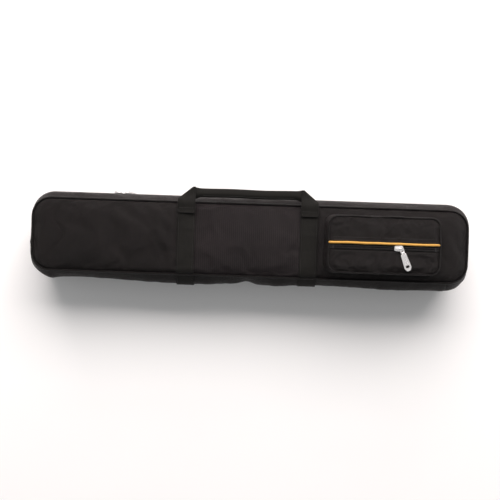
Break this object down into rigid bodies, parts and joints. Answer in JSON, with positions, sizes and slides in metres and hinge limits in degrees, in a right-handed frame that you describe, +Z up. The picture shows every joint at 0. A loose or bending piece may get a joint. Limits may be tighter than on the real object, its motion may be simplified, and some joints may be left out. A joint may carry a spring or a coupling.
{
  "type": "telescope carry case",
  "caption": "Long padded clamshell carry case in black fabric, with a zipped box pocket, two webbing straps, a webbing handle and a zip round three sides.",
  "frame": {"origin": "centre of the bounding box in X and Y, on the surface that the case lies on", "axes": "+X along the case towards the pocket end, +Y from the fabric hinge to the carry handle, +Z up out of the front panel"},
  "size_m": [0.759, 0.1656, 0.1304],
  "materials": {
    "shell_fabric": "matt black woven nylon",
    "foam": "closed-cell foam padding",
    "lining": "soft brushed lining",
    "edge_piping": "woven cover over a round cord",
    "accent_piping": "yellow-orange woven piping",
    "webbing": "ribbed flat webbing",
    "zip_tape": "knitted zip tape",
    "zip_coil": "satin nylon coil",
    "zip_metal": "polished nickel plate"
  },
  "bodies": {
    "tray": {"back_panel": "shell_fabric", "back_padding": "foam", "back_lining": "lining", "back_piping": "edge_piping", "tray_gusset": "shell_fabric", "tray_padding": "foam", "tray_lining": "lining", "tray_zip_tape": "zip_tape", "tray_zip_coil": "zip_coil", "main_zip_stops": "zip_metal", "back_strap_left": "webbing", "back_strap_right": "webbing", "bottom_strap_tray_left": "webbing", "bottom_strap_tray_right": "webbing"},
    "cover": {"front_panel": "shell_fabric", "front_padding": "foam", "front_lining": "lining", "front_piping": "edge_piping", "cover_gusset": "shell_fabric", "cover_padding": "foam", "cover_lining": "lining", "cover_zip_tape": "zip_tape", "cover_zip_coil": "zip_coil", "bottom_strap_cover_left": "webbing", "bottom_strap_cover_right": "webbing", "front_strap_left": "webbing", "front_strap_right": "webbing", "handle_anchor_left": "webbing", "handle_anchor_right": "webbing", "pocket_gusset": "shell_fabric", "pocket_face_upper": "shell_fabric", "pocket_face_lower": "shell_fabric", "pocket_piping": "edge_piping", "pocket_accent_piping": "accent_piping", "pocket_zip_tape_upper": "zip_tape", "pocket_zip_tape_lower": "zip_tape", "pocket_zip_coil_upper": "zip_coil", "pocket_zip_coil_lower": "zip_coil", "pocket_zip_stops": "zip_coil"},
    "handle": {"handle_riser_left": "webbing", "handle_riser_right": "webbing", "handle_grip": "webbing"},
    "main_left_slider": {"main_left_slider_body": "zip_metal", "main_left_slider_bail": "zip_metal"},
    "main_left_link": {"main_left_puller_link": "zip_metal"},
    "main_left_tab": {"main_left_pull_tab": "zip_metal"},
    "main_right_slider": {"main_right_slider_body": "zip_metal", "main_right_slider_bail": "zip_metal"},
    "main_right_link": {"main_right_puller_link": "zip_metal"},
    "main_right_tab": {"main_right_pull_tab": "zip_metal"},
    "pocket_slider": {"pocket_slider_body": "zip_metal", "pocket_slider_bail": "zip_metal"},
    "pocket_link": {"pocket_puller_link": "zip_metal"},
    "pocket_tab": {"pocket_pull_tab": "zip_metal"}
  },
  "joints": [
    {"name": "cover_hinge", "type": "hinge", "parent": "tray", "child": "cover", "pos_m": [0, -0.083, 0.068], "axis": [1, 0, 0], "range_deg": [0, 180]},
    {"name": "handle_swing", "type": "hinge", "parent": "cover", "child": "handle", "pos_m": [0, 0.0478, 0.10235], "axis": [1, 0, 0], "range_deg": [0, 150]},
    {"name": "main_left_slider_run", "type": "slide", "parent": "tray", "child": "main_left_slider", "axis": [1, 0, 0], "range_m": [-0.1, 0]},
    {"name": "main_left_puller_swing", "type": "hinge", "parent": "main_left_slider", "child": "main_left_link", "pos_m": [-0.2355, 0.0717, 0.068], "axis": [0, 1, 0], "range_deg": [-15, 90]},
    {"name": "main_left_puller_lift", "type": "hinge", "parent": "main_left_link", "child": "main_left_tab", "pos_m": [-0.2355, 0.0717, 0.0604], "axis": [1, 0, 0], "range_deg": [0, 130]},
    {"name": "main_right_slider_run", "type": "slide", "parent": "tray", "child": "main_right_slider", "axis": [1, 0, 0], "range_m": [0, 0.545]},
    {"name": "main_right_puller_swing", "type": "hinge", "parent": "main_right_slider", "child": "main_right_link", "pos_m": [-0.2105, 0.0717, 0.068], "axis": [0, 1, 0], "range_deg": [-90, 15]},
    {"name": "main_right_puller_lift", "type": "hinge", "parent": "main_right_link", "child": "main_right_tab", "pos_m": [-0.2105, 0.0717, 0.0604], "axis": [1, 0, 0], "range_deg": [0, 130]},
    {"name": "pocket_slider_run", "type": "slide", "parent": "cover", "child": "pocket_slider", "axis": [1, 0, 0], "range_m": [-0.1, 0.053]},
    {"name": "pocket_puller_swing", "type": "hinge", "parent": "pocket_slider", "child": "pocket_link", "pos_m": [0.2524, -0.011, 0.1281], "axis": [0, 0, 1], "range_deg": [-40, 45]},
    {"name": "pocket_puller_lift", "type": "hinge", "parent": "pocket_link", "child": "pocket_tab", "pos_m": [0.25522, -0.01806, 0.1281], "axis": [-0.9288, -0.3706, 0], "range_deg": [0, 130]}
  ]
}
